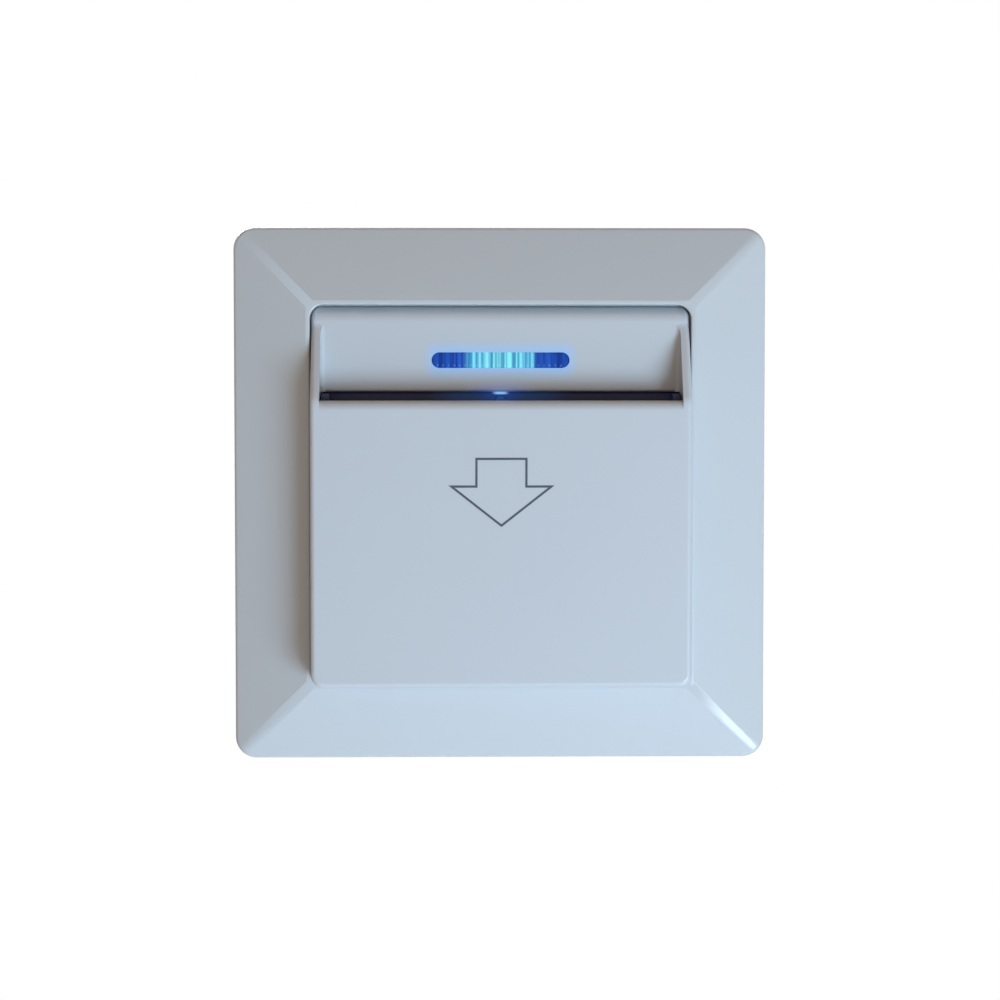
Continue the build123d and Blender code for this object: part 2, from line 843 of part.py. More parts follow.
def make_relay_base():
    inset = 2 * (relay_case_wall + relay_fit)
    return panel(relay_length - inset, relay_width - inset, relay_seat, relay_base_back,
                 x=relay_x, z=relay_level)


def make_relay_pins():
    return [panel(relay_pin_width, relay_pin_width, relay_seat, power_front - pin_reach, x=x, z=z)
            for x, z in relay_pin_centres]


def make_relay_yoke():
    """An angle of flat iron: a foot under the coil and an upright whose edge carries the armature."""
    foot_end = bobbin_x + bobbin_width / 2
    yoke = block((hinge_x, foot_end), (relay_base_back, bobbin_front), around(relay_level, yoke_width))
    return yoke + block((hinge_x, hinge_x + yoke_wall), (relay_base_back, hinge_y),
                        around(relay_level, yoke_width))


def make_relay_bobbin():
    bobbin = pillar(bobbin_tube, bobbin_front, bobbin_back, bobbin_x, relay_level)
    for first, second in ((bobbin_front, bobbin_front + bobbin_flange),
                          (bobbin_back - bobbin_flange, bobbin_back)):
        bobbin += panel(bobbin_width, bobbin_width, first, second, x=bobbin_x, z=relay_level)
    return bobbin - pillar(core_radius + small_screw_play, bobbin_front - overrun, bobbin_back + overrun,
                           bobbin_x, relay_level)


def make_relay_winding():
    first = bobbin_front + bobbin_flange
    second = bobbin_back - bobbin_flange
    return (pillar(winding_radius, first, second, bobbin_x, relay_level)
            - pillar(bobbin_tube + small_screw_play, first - overrun, second + overrun, bobbin_x, relay_level))


def make_relay_core():
    core = pillar(core_radius, bobbin_front, hinge_y, bobbin_x, relay_level)
    return core + pillar(pole_radius, bobbin_back, hinge_y, bobbin_x, relay_level)


def make_fixed_contact():
    """A bent strip that stands on the base and holds the fixed contact under the blade's."""
    strip_back = blade_front - 2 * contact_height - contact_air
    right = relay_room_right - strip_room
    strip = block((contact_x - strip_left, right), (strip_back - strip_wall, strip_back),
                  around(relay_level, strip_width))
    strip += block((right - strip_wall, right), (relay_base_back, strip_back),
                   around(relay_level, strip_width))
    return strip + pillar(contact_radius, strip_back, strip_back + contact_height, contact_x, relay_level)


def opened(shape):
    """A piece of the armature turned from closed to its resting, open place."""
    hinge = Axis((hinge_x, hinge_y, 0), (0, 0, 1))
    return shape.rotate(hinge, armature_open_angle)


def make_relay_armature():
    return opened(block((hinge_x, hinge_x + armature_length),
                        (hinge_y + armature_gap, blade_front), around(relay_level, yoke_width)))


def make_contact_blade():
    blade = block((hinge_x + blade_start, blade_end), (blade_front, blade_front + blade_wall),
                  around(relay_level, blade_width))
    blade += pillar(contact_radius, blade_front - contact_height, blade_front, contact_x, relay_level)
    return opened(blade)


# Other components of the power board, each with its leads through the board
def leads(places, lift=0):
    back = power_back + lift
    return [panel(lead_width, lead_width, back, power_front - pin_reach, x=x, z=z) for x, z in places]


def make_film_capacitor():
    back = power_back + film_height
    body = panel(film_length, film_width, power_back, back, component_round, x=film_x, z=film_level)
    body = chamfer(rim(body, back), component_round / 2)
    return body.fuse(*leads(film_leads))


def make_electrolytic():
    back = power_back + electrolytic_height
    can = pillar(electrolytic_radius, power_back, back, electrolytic_x, electrolytic_level)
    return chamfer(rim(can, back), component_round).fuse(*leads(electrolytic_leads))


def make_varistor():
    middle = power_back + varistor_lift + varistor_radius
    disc = Pos(varistor_x, middle, varistor_level) * Rot(0, 90, 0) * Cylinder(varistor_radius, varistor_wall)
    return disc.fuse(*leads(varistor_leads, varistor_radius))


def make_fuse_tube():
    length = fuse_length - 2 * fuse_cap
    return Pos(fuse_x, power_back + fuse_radius, fuse_level) * Cylinder(fuse_tube_radius, length)


def make_fuse_caps():
    caps = []
    for side, lead in zip((-1, 1), leads(fuse_leads, fuse_radius)):
        middle = fuse_level + side * (fuse_length - fuse_cap) / 2
        caps.append(Pos(fuse_x, power_back + fuse_radius, middle) * Cylinder(fuse_radius, fuse_cap) + lead)
    return caps


def make_rectifier():
    back = power_back + rectifier_wall
    body = panel(rectifier_width, rectifier_height, power_back, back, x=rectifier_x, z=rectifier_level)
    return chamfer(rim(body, back), component_round)


def make_regulator():
    back = power_back + regulator_wall
    body = panel(regulator_width, regulator_height, power_back, back, x=regulator_x, z=regulator_level)
    body = chamfer(rim(body, back), component_round)
    return body + block(around(regulator_x, regulator_width - regulator_tab),
                        (power_back, power_back + regulator_tab_wall),
                        (regulator_level, regulator_level + regulator_height / 2 + regulator_tab))


os.makedirs("parts", exist_ok=True)

save("front_frame", make_front_frame())
save("card_cover", make_card_cover())
save("led_lens", make_led_lens())
save("card_liner", make_card_liner())
save("slot_light_pipe", make_light_pipe())
save("mounting_plate", make_mounting_plate())
save("rear_housing", make_rear_housing())
save("liner_screws", *[small_screw(x, z, plate_head_seat, liner_screw_length, -1) for x, z in liner_posts])
save("housing_screws",
     *[small_screw(x, z, flange_front, housing_screw_length, 1) for x, z in housing_screws])
save("reader_board_screws",
     *[small_screw(x, z, reader_back, reader_screw_length, -1) for x, z in reader_screws])
save("power_board_screws",
     *[small_screw(x, z, power_front, power_screw_length, 1) for x, z in power_screws])

save("reader_board", make_reader_board())
save("antenna_coil", make_antenna_coil())
save("reader_chip", chip(reader_chip_width, reader_chip_width, reader_chip_x, reader_chip_level))
save("control_chip", chip(control_chip_width, control_chip_height, control_chip_x, control_chip_level))
save("clock_crystal", chip(crystal_length, crystal_width, crystal_x, crystal_level))
save("window_lamps",
     *[lamp((n - (lamp_count - 1) / 2) * lamp_pitch, window_level) for n in range(lamp_count)])
save("slot_lamp", lamp(0, light_pipe_level))
save("header_bodies", *make_header_bodies())
save("header_pins", *make_header_pins())

save("power_board", make_power_board())
save("film_capacitor", make_film_capacitor())
save("electrolytic_capacitor", make_electrolytic())
save("varistor", make_varistor())
save("fuse_tube", make_fuse_tube())
save("fuse_caps", *make_fuse_caps())
save("bridge_rectifier", make_rectifier())
save("voltage_regulator", make_regulator())

save("relay_case", make_relay_case())
save("relay_base", make_relay_base())
save("relay_pins", *make_relay_pins())
save("relay_yoke", make_relay_yoke())
save("relay_bobbin", make_relay_bobbin())
save("relay_winding", make_relay_winding())
save("relay_core", make_relay_core())
save("relay_fixed_contact", make_fixed_contact())
save("relay_armature", make_relay_armature())
save("relay_contact_blade", make_contact_blade())

save("terminal_body", make_terminal_body())
save("terminal_contacts", *[make_terminal_contact(x) for x in terminal_places])
for number, place in enumerate(terminal_places, start=1):
    save("terminal_cage_" + str(number), make_terminal_cage(place))
    save("terminal_screw_" + str(number), make_terminal_screw(place))
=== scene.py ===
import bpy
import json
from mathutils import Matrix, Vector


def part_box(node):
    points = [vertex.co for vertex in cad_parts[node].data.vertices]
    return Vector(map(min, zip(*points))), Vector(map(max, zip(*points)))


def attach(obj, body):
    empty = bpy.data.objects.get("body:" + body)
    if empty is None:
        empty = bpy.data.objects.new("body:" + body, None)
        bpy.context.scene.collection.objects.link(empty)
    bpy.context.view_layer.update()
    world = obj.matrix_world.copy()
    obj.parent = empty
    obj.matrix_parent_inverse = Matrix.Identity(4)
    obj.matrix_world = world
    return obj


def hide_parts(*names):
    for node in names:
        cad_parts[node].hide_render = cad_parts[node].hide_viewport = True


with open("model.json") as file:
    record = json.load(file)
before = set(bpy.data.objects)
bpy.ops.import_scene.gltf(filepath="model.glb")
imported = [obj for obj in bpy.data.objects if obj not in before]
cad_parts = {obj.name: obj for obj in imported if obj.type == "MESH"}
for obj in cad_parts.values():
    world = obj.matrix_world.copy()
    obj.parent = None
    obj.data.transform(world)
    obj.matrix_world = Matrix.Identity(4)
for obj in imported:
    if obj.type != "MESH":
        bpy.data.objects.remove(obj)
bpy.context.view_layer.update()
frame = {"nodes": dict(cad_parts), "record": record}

# %% [markdown]
# # A hotel key card switch, dressed for the camera
#
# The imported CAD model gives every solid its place. This script gives it its looks: it softens the
# edges, builds the finely ribbed light bar, the screws and the printed arrow, and mixes the plastics
# and metals from nodes.
#
# All lengths are metres. X runs to the right, Y into the wall and Z up.

# %% Tools
import json
import math

import bmesh
import bpy
import numpy as np
from mathutils import Vector

MM = 0.001
MERGE_DISTANCE = 1e-7
scene = bpy.context.scene
nodes = frame["nodes"]


def mesh_object(name, vertices, faces):
    """A new object at the origin from an array of points, shape (n, 3), and a list of faces."""
    mesh = bpy.data.meshes.new(name)
    points = [tuple(v) for v in np.asarray(vertices, float)]
    mesh.from_pydata(points, [], [tuple(int(i) for i in face) for face in faces])
    mesh.validate()
    mesh.update()
    piece = bpy.data.objects.new(name, mesh)
    scene.collection.objects.link(piece)
    return piece


def tube_faces(rows, columns, cap=True):
    """Quads of a grid of rows by columns points whose columns close on themselves.
    Point (i, j) has the number i * columns + j. The two end rows are closed by one face each."""
    i, j = np.meshgrid(np.arange(rows - 1), np.arange(columns), indexing="ij")
    a = i * columns + j
    b = i * columns + (j + 1) % columns
    quads = np.stack([a, b, b + columns, a + columns], axis=-1).reshape(-1, 4).tolist()
    if cap:
        quads.append(list(range(columns))[::-1])
        quads.append(list(range((rows - 1) * columns, rows * columns)))
    return quads


def smooth(piece, angle):
    """Smooth shading, with edges sharper than an angle in degrees kept crisp."""
    piece.data.shade_smooth()
    piece.data.set_sharp_from_angle(angle=math.radians(angle))


def close_up(piece):
    """Merge the points that fall together, and turn every face outward."""
    closed = bmesh.new()
    closed.from_mesh(piece.data)
    bmesh.ops.remove_doubles(closed, verts=closed.verts, dist=MERGE_DISTANCE)
    bmesh.ops.recalc_face_normals(closed, faces=closed.faces)
    closed.to_mesh(piece.data)
    closed.free()


def add_node(tree, kind, **settings):
    """A new node of a tree, with the given attributes set."""
    node = tree.nodes.new(kind)
    for name, value in settings.items():
        setattr(node, name, value)
    return node


# %% [markdown]
# ## The camera
#
# The photograph looks almost straight at the front, from 1.2 degrees to the left and 3 degrees
# above, about 0.42 m away. The frame is 86 mm wide and fills 530 of the 1000 pixels, so the focal
# length in pixels is 6.163 pixels a millimetre times the distance.

# %% Camera
PIXELS_PER_MM = 6.163
PHOTO_WIDTH = 1000
distance = 0.42
azimuth = math.radians(-1.2)
elevation = math.radians(3.0)
target = Vector((0.0, -4.2 * MM, -1.0 * MM))
back = Vector((math.sin(azimuth) * math.cos(elevation), -math.cos(azimuth) * math.cos(elevation),
               math.sin(elevation)))
camera_data = bpy.data.cameras.new("camera")
camera_data.sensor_width = 36.0
camera_data.lens = PIXELS_PER_MM * distance / MM * camera_data.sensor_width / PHOTO_WIDTH
camera = bpy.data.objects.new("camera", camera_data)
camera.location = target + back * distance
camera.rotation_mode = "QUATERNION"
camera.rotation_quaternion = (-back).to_track_quat("-Z", "Y")
camera_data.clip_start = 0.01
scene.collection.objects.link(camera)
scene.camera = camera
print("lens", round(camera_data.lens, 1), "mm")

# %% [markdown]
# ## Light
#
# One cool lamp stands low on the right, so the module throws a short shadow to the left and a
# little upwards. It is near enough for its whole disk to lie above the floor. A second lamp lights
# the back alone.

# %% Lamps
def soft_lamp(name, direction, distance, size, energy, color):
    """A disk of light as wide as size, in metres, that faces the origin from a direction."""
    data = bpy.data.lights.new(name, "AREA")
    data.shape = "DISK"
    data.size = size
    data.energy = energy
    data.color = color
    lamp = bpy.data.objects.new(name, data)
    lamp.location = direction * distance
    lamp.rotation_mode = "QUATERNION"
    lamp.rotation_quaternion = direction.to_track_quat("Z", "Y")
    scene.collection.objects.link(lamp)
    return lamp


key = soft_lamp("key", Vector((0.46, -0.77, -0.43)), distance=0.7, size=0.36, energy=4.15,
                color=(0.78, 1.01, 1.23))
rear = soft_lamp("rear", Vector((-0.35, 0.75, 0.56)), distance=0.9, size=0.50, energy=8.0,
                 color=(0.88, 0.98, 1.12))
print("lamps:", key.data.energy, "W and", rear.data.energy, "W")

# %% [markdown]
# A warmer world fills the shadows. Its light grows with the height of its direction, from the
# colour below at z = -1 to the colour above at z = 1. Camera, mirror and glass rays see white.

# %% World
FILL_BELOW = (0.26, 0.17, 0.105, 1)
FILL_ABOVE = (0.42, 0.30, 0.215, 1)
world = bpy.data.worlds.new("world")
scene.world = world
world.use_nodes = True
tree = world.node_tree
tree.nodes.clear()
rays = tree.nodes.new("ShaderNodeLightPath")
seen = add_node(tree, "ShaderNodeMath", operation="MAXIMUM")
seen_too = add_node(tree, "ShaderNodeMath", operation="MAXIMUM")
fill = tree.nodes.new("ShaderNodeBackground")
way = tree.nodes.new("ShaderNodeTexCoord")
height = tree.nodes.new("ShaderNodeSeparateXYZ")
share = tree.nodes.new("ShaderNodeMapRange")
share.inputs["From Min"].default_value = -1.0
sky = add_node(tree, "ShaderNodeMix", data_type="RGBA")
sky.inputs[6].default_value = FILL_BELOW
sky.inputs[7].default_value = FILL_ABOVE
tree.links.new(way.outputs["Generated"], height.inputs[0])
tree.links.new(height.outputs["Z"], share.inputs["Value"])
tree.links.new(share.outputs[0], sky.inputs[0])
tree.links.new(sky.outputs[2], fill.inputs["Color"])
white = tree.nodes.new("ShaderNodeBackground")
white.inputs["Color"].default_value = (1, 1, 1, 1)
mix = tree.nodes.new("ShaderNodeMixShader")
out = tree.nodes.new("ShaderNodeOutputWorld")
tree.links.new(rays.outputs["Is Camera Ray"], seen.inputs[0])
tree.links.new(rays.outputs["Is Glossy Ray"], seen.inputs[1])
tree.links.new(seen.outputs[0], seen_too.inputs[0])
tree.links.new(rays.outputs["Is Transmission Ray"], seen_too.inputs[1])
tree.links.new(seen_too.outputs[0], mix.inputs[0])
tree.links.new(fill.outputs[0], mix.inputs[1])
tree.links.new(white.outputs[0], mix.inputs[2])
tree.links.new(mix.outputs[0], out.inputs["Surface"])
scene.view_settings.view_transform = "Standard"
print("world fill from", FILL_BELOW[:3], "to", FILL_ABOVE[:3])

# %% [markdown]
# ## The floor
#
# The floor lies well below the switch. The camera sees it white, as it sees the world.

# %% Floor
FLOOR_HALF = 3.0
FLOOR_LEVEL = -0.5
floor_corners = np.array([(-1, -1, 0), (1, -1, 0), (1, 1, 0), (-1, 1, 0)]) * FLOOR_HALF + (0, 0, FLOOR_LEVEL)
floor = mesh_object("floor", floor_corners, [(0, 1, 2, 3)])
floor_material = bpy.data.materials.new("floor")
floor_material.use_nodes = True
tree = floor_material.node_tree
tree.nodes.clear()
rays = tree.nodes.new("ShaderNodeLightPath")
paper = tree.nodes.new("ShaderNodeBsdfDiffuse")
paper.inputs["Color"].default_value = (0.8, 0.8, 0.8, 1)
glow = tree.nodes.new("ShaderNodeEmission")
mix = tree.nodes.new("ShaderNodeMixShader")
out = tree.nodes.new("ShaderNodeOutputMaterial")
tree.links.new(rays.outputs["Is Camera Ray"], mix.inputs[0])
tree.links.new(paper.outputs[0], mix.inputs[1])
tree.links.new(glow.outputs[0], mix.inputs[2])
tree.links.new(mix.outputs[0], out.inputs["Surface"])
floor.data.materials.append(floor_material)
print("floor at", FLOOR_LEVEL, "m")

# %% [markdown]
# ## Materials
#
# Moulded plastic is never quite even: its colour and gloss drift a little over centimetres, and its
# skin has a grain well under a millimetre. One node group holds both effects, so that every material
# shares them and differs in its numbers: colour = given * (1 + drift (cloud - 0.5)), and roughness =
# given + gloss drift (cloud - 0.5).

# %% The moulded skin, a node group
DRIFT_SCALE = 60
GRAIN_DEPTH = 0.05 * MM
skin = bpy.data.node_groups.new("moulded skin", "ShaderNodeTree")
for name, kind, value in (("Drift", "NodeSocketFloat", 0.05), ("Gloss drift", "NodeSocketFloat", 0.1),
                          ("Roughness", "NodeSocketFloat", 0.35), ("Grain size", "NodeSocketFloat", 4000.0),
                          ("Grain", "NodeSocketFloat", 0.05)):
    socket = skin.interface.new_socket(name, in_out="INPUT", socket_type=kind)
    socket.default_value = value
skin.interface.new_socket("Color", in_out="INPUT", socket_type="NodeSocketColor")
skin.interface.new_socket("Color", in_out="OUTPUT", socket_type="NodeSocketColor")
skin.interface.new_socket("Roughness", in_out="OUTPUT", socket_type="NodeSocketFloat")
skin.interface.new_socket("Normal", in_out="OUTPUT", socket_type="NodeSocketVector")
given = skin.nodes.new("NodeGroupInput")
result = skin.nodes.new("NodeGroupOutput")
place = skin.nodes.new("ShaderNodeTexCoord")
cloud = skin.nodes.new("ShaderNodeTexNoise")
cloud.inputs["Scale"].default_value = DRIFT_SCALE
cloud.inputs["Detail"].default_value = 4
grain = skin.nodes.new("ShaderNodeTexNoise")
grain.inputs["Detail"].default_value = 3
centred = add_node(skin, "ShaderNodeMath", operation="SUBTRACT")
centred.inputs[1].default_value = 0.5
shade = add_node(skin, "ShaderNodeMath", operation="MULTIPLY_ADD")
shade.inputs[2].default_value = 1.0
tint = add_node(skin, "ShaderNodeVectorMath", operation="SCALE")
gloss = add_node(skin, "ShaderNodeMath", operation="MULTIPLY_ADD")
bump = skin.nodes.new("ShaderNodeBump")
bump.inputs["Distance"].default_value = GRAIN_DEPTH
skin.links.new(place.outputs["Object"], cloud.inputs["Vector"])
skin.links.new(place.outputs["Object"], grain.inputs["Vector"])
skin.links.new(given.outputs["Grain size"], grain.inputs["Scale"])
skin.links.new(cloud.outputs[0], centred.inputs[0])
skin.links.new(centred.outputs[0], shade.inputs[0])
skin.links.new(given.outputs["Drift"], shade.inputs[1])
skin.links.new(given.outputs["Color"], tint.inputs[0])
skin.links.new(shade.outputs[0], tint.inputs["Scale"])
skin.links.new(centred.outputs[0], gloss.inputs[0])
skin.links.new(given.outputs["Gloss drift"], gloss.inputs[1])
skin.links.new(given.outputs["Roughness"], gloss.inputs[2])
skin.links.new(grain.outputs[0], bump.inputs["Height"])
skin.links.new(given.outputs["Grain"], bump.inputs["Strength"])
skin.links.new(tint.outputs[0], result.inputs["Color"])
skin.links.new(gloss.outputs[0], result.inputs["Roughness"])
skin.links.new(bump.outputs[0], result.inputs["Normal"])
print(len(skin.nodes), "nodes in the group")

# %% [markdown]
# A table gives each material its numbers: colour, metal, roughness, drift of colour, drift of gloss,
# grain in bumps a metre and strength of the grain.

# %% The materials
FINISHES = {
    "cover_plastic": ((0.50, 0.553, 0.60), 0, 0.34, 0.03, 0.04, 5000, 0.10),
    "frame_plastic": ((0.50, 0.553, 0.59), 0, 0.24, 0.03, 0.02, 5000, 0.10),
    # dark_plastic is near-black: painted shade that stands in for the deep shadow inside the card slot.
    "dark_plastic": ((0.010, 0.010, 0.014), 0, 0.60, 0.10, 0.10, 6000, 0.30),
    "plate_plastic": ((0.60, 0.62, 0.64), 0, 0.45, 0.05, 0.10, 5000, 0.20),
    "housing_plastic": ((0.60, 0.61, 0.60), 0, 0.55, 0.05, 0.10, 3500, 0.45),
    "zinc_steel": ((0.62, 0.63, 0.65), 1, 0.36, 0.10, 0.08, 7000, 0.15),
    "board": ((0.012, 0.13, 0.05), 0, 0.36, 0.12, 0.06, 3000, 0.15),
    "copper": ((0.72, 0.33, 0.16), 1, 0.36, 0.10, 0.08, 6000, 0.15),
    "contact_brass": ((0.72, 0.53, 0.22), 1, 0.36, 0.08, 0.08, 6000, 0.15),
    "chip_black": ((0.03, 0.03, 0.032), 0, 0.50, 0.10, 0.10, 7000, 0.40),
    "lamp_white": ((0.80, 0.80, 0.72), 0, 0.34, 0.05, 0.06, 4000, 0.10),
    "film_yellow": ((0.72, 0.46, 0.04), 0, 0.36, 0.05, 0.06, 4000, 0.15),
    "sleeve_blue": ((0.02, 0.05, 0.16), 0, 0.34, 0.05, 0.06, 3000, 0.10),
    "varistor_blue": ((0.03, 0.12, 0.42), 0, 0.36, 0.08, 0.06, 1500, 0.35),
    "fuse_ceramic": ((0.78, 0.76, 0.70), 0, 0.60, 0.05, 0.10, 5000, 0.30),
    "relay_case": ((0.02, 0.03, 0.05), 0, 0.38, 0.05, 0.08, 4000, 0.15),
    "relay_iron": ((0.50, 0.50, 0.50), 1, 0.38, 0.10, 0.08, 6000, 0.20),
    "bobbin_plastic": ((0.72, 0.68, 0.58), 0, 0.45, 0.05, 0.10, 5000, 0.20),
}


def new_material(name, finish):
    """A principled shader fed by the moulded skin. Returns the material, its shader and its tree."""
    color, metal, roughness, drift, gloss_drift, size, strength = finish
    material = bpy.data.materials.new(name)
    material.use_nodes = True
    tree = material.node_tree
    shader = tree.nodes["Principled BSDF"]
    group = tree.nodes.new("ShaderNodeGroup")
    group.node_tree = skin
    for socket, value in (("Color", (*color, 1)), ("Roughness", roughness), ("Drift", drift),
                          ("Gloss drift", gloss_drift), ("Grain size", size), ("Grain", strength)):
        group.inputs[socket].default_value = value
    shader.inputs["Metallic"].default_value = metal
    tree.links.new(group.outputs["Color"], shader.inputs["Base Color"])
    tree.links.new(group.outputs["Roughness"], shader.inputs["Roughness"])
    tree.links.new(group.outputs["Normal"], shader.inputs["Normal"])
    return material, shader, tree


def distance_from(tree, z, half_x=0.0, half_z=0.0, squeeze=(1, 0, 1)):
    """Distance in metres, seen from the front, from a box centred at (0, z) with these half sizes:
    the length of max(|p| - half, 0) squeeze, where p is the point less the centre."""
    place = tree.nodes.new("ShaderNodeTexCoord")
    value = place.outputs["Object"]
    for operation, other in (("SUBTRACT", (0, 0, z)), ("ABSOLUTE", None), ("SUBTRACT", (half_x, 0, half_z)),
                             ("MAXIMUM", (0, 0, 0)), ("MULTIPLY", squeeze)):
        step = add_node(tree, "ShaderNodeVectorMath", operation=operation)
        tree.links.new(value, step.inputs[0])
        if other is not None:
            step.inputs[1].default_value = other
        value = step.outputs[0]
    length = add_node(tree, "ShaderNodeVectorMath", operation="LENGTH")
    tree.links.new(value, length.inputs[0])
    return length.outputs["Value"]


def ramp(tree, value, low, high, stops):
    """Colours that follow a value from low to high. stops are (share, colour) pairs, of which the
    first two are the ramp's own ends."""
    scale = tree.nodes.new("ShaderNodeMapRange")
    scale.inputs["From Min"].default_value = low
    scale.inputs["From Max"].default_value = high
    colors = tree.nodes.new("ShaderNodeValToRGB")
    colors.color_ramp.interpolation = "EASE"
    for number, (share, color) in enumerate(stops):
        if number < 2:
            stop = colors.color_ramp.elements[number]
            stop.position = share
        else:
            stop = colors.color_ramp.elements.new(share)
        stop.color = (*color, 1)
    tree.links.new(value, scale.inputs["Value"])
    tree.links.new(scale.outputs[0], colors.inputs[0])
    return colors.outputs["Color"]


LIT = ("dark_plastic", "cover_plastic")
materials = {name: new_material(name, finish)[0] for name, finish in FINISHES.items() if name not in LIT}
print(len(materials), "plain materials")

# %% [markdown]
# The light bar is deep blue at its ends and pale in its middle, where its lamps sit. A noise along X
# as coarse as its ribs makes the dark and bright stripes. Near the bar the cover has painted light:
# its colour turns pale blue and it glows faintly, as if the bar lit it. Its edge over the slot has
# a painted blue glow. The slot's dark rear wall has a painted wide dim glow with a small bright spot
# under the light pipe; on the light pipe itself this glow is the pipe's own light.

# %% Lit materials
def mixed(tree, share, first, second, kind="MIX"):
    """Two colours mixed by a share, either of which may be a colour or an output."""
    mix = add_node(tree, "ShaderNodeMix", data_type="RGBA", blend_type=kind)
    for socket, given in ((mix.inputs[0], share), (mix.inputs[6], first), (mix.inputs[7], second)):
        if isinstance(given, bpy.types.NodeSocket):
            tree.links.new(given, socket)
        else:
            socket.default_value = given
    return mix.outputs[2]


BAR_LEVEL = 21.65 * MM
BAR_REACH = 10 * MM
RIB_PITCH = 0.90 * MM
HALO_HALF_X, HALO_HALF_Z = 10.2 * MM, 0.9 * MM
HALO_START, HALO_END = 0.3 * MM, 2.6 * MM
SPOT_LEVEL = 16.4 * MM
SPOT_REACH = 0.35 * MM
WIDE_REACH = 12 * MM
EDGE_LEVEL = SPOT_LEVEL + 0.2 * MM
EDGE_REACH = 2.2 * MM
LENS_FINISH = ((0.006, 0.022, 0.16), 0, 0.22, 0.05, 0.05, 3000, 0.05)
PIPE_FINISH = ((0.03, 0.08, 0.16), 0, 0.35, 0.05, 0.05, 3000, 0.05)
# Painted light round the bar: a pale blue mixed into the cover's colour, and a faint blue glow.
HALO_PAINTED_COLOR = (0.30, 0.57, 0.92, 1)
HALO_PAINTED_GLOW = (0.0, 0.030, 0.11, 1)
BLACK = (0.0, 0.0, 0.0)

material, shader, tree = new_material("blue_lens", LENS_FINISH)
shader.inputs["Specular IOR Level"].default_value = 0.1
glow = ramp(tree, distance_from(tree, BAR_LEVEL, squeeze=(1, 0, 0)), 0, BAR_REACH,
            [(0.0, (0.20, 0.70, 0.70)), (1.0, (0.004, 0.044, 0.23)),
             (0.46, (0.16, 0.62, 0.72)), (0.62, (0.01, 0.07, 0.34))])
place = tree.nodes.new("ShaderNodeTexCoord")
stretch = add_node(tree, "ShaderNodeVectorMath", operation="MULTIPLY")
stretch.inputs[1].default_value = (1 / RIB_PITCH, 0, 0)
stripes = tree.nodes.new("ShaderNodeTexNoise")
stripes.inputs["Scale"].default_value = 1.0
stripes.inputs["Detail"].default_value = 2.0
tree.links.new(place.outputs["Object"], stretch.inputs[0])
tree.links.new(stretch.outputs[0], stripes.inputs["Vector"])
dark = ramp(tree, stripes.outputs[0], 0.42, 0.58, [(0.0, (0.28, 0.45, 0.60)), (1.0, (1.35, 1.25, 1.15))])
tree.links.new(mixed(tree, 1.0, glow, dark, "MULTIPLY"), shader.inputs["Emission Color"])
shader.inputs["Emission Strength"].default_value = 1.0
materials["blue_lens"] = material

# A glow from the light pipe: a wide dim glow and a small bright spot. On the light pipe it is the pipe's own
# light; on the dark plastic of the slot's walls it is painted light.
for name in ("light_pipe", "dark_plastic"):
    material, shader, tree = new_material("lit_" + name, FINISHES.get(name, PIPE_FINISH))
    shader.inputs["Specular IOR Level"].default_value = 0.4
    wide = ramp(tree, distance_from(tree, SPOT_LEVEL, 0.5 * MM, squeeze=(1, 0, 1.5)), 0, WIDE_REACH,
                [(0.0, (0.0, 0.028, 0.17)), (1.0, (0.0, 0.0, 0.008)), (0.35, (0.0, 0.014, 0.06))])
    spot = ramp(tree, distance_from(tree, SPOT_LEVEL, 0.4 * MM, squeeze=(0.3, 0, 1)), 0, SPOT_REACH,
                [(0.0, (0.25, 0.52, 0.75)), (1.0, BLACK)])
    tree.links.new(mixed(tree, 1.0, wide, spot, "ADD"), shader.inputs["Emission Color"])
    shader.inputs["Emission Strength"].default_value = 1.0
    materials[name] = material

# The cover with painted light: near the bar its colour turns pale blue and it glows faintly, as if lit by
# the bar, and its edge over the slot has a painted blue glow from the light pipe.
material, shader, tree = new_material("lit_cover_plastic", FINISHES["cover_plastic"])
skin_color = shader.inputs["Base Color"].links[0].from_socket
near = ramp(tree, distance_from(tree, BAR_LEVEL, HALO_HALF_X, HALO_HALF_Z), HALO_START, HALO_END,
            [(0.0, (0.85, 0.85, 0.85)), (1.0, BLACK), (0.25, (0.40, 0.40, 0.40))])
tree.links.new(mixed(tree, near, skin_color, HALO_PAINTED_COLOR), shader.inputs["Base Color"])
edge_glow = ramp(tree, distance_from(tree, EDGE_LEVEL, 0.5 * MM, squeeze=(0.35, 0, 1)), 0, EDGE_REACH,
                 [(0.0, (0.03, 0.075, 0.28)), (1.0, BLACK), (0.35, (0.0, 0.020, 0.11))])
halo = mixed(tree, 1.0, near, HALO_PAINTED_GLOW, "MULTIPLY")
tree.links.new(mixed(tree, 1.0, edge_glow, halo, "ADD"), shader.inputs["Emission Color"])
shader.inputs["Emission Strength"].default_value = 1.0
materials["cover_plastic"] = material
print("lit:", ", ".join(("blue_lens", "light_pipe") + LIT))

# %% [markdown]
# ## The CAD pieces
#
# A CAD mesh comes as separate facets. Four modifiers finish it: weld joins the facets, planar
# decimation turns flat faces back into single polygons, a small bevel takes the razor off each sharp
# edge, and weighted normals keep the flats flat.

# %% Finish the CAD pieces
slot_of = {part["node"]: part["material_slot"] for part in frame["record"]["subparts"]}
SOFTENED = {"front_frame": 0.06, "card_cover": 0.10, "card_liner": 0.15, "mounting_plate": 0.12,
            "rear_housing": 0.20, "terminal_body": 0.12}
SOFTENED_OTHERWISE = 0.06
WELD_DISTANCE = 1e-6
FLAT_ANGLE = math.radians(1.5)
EDGE_ANGLE = math.radians(40)


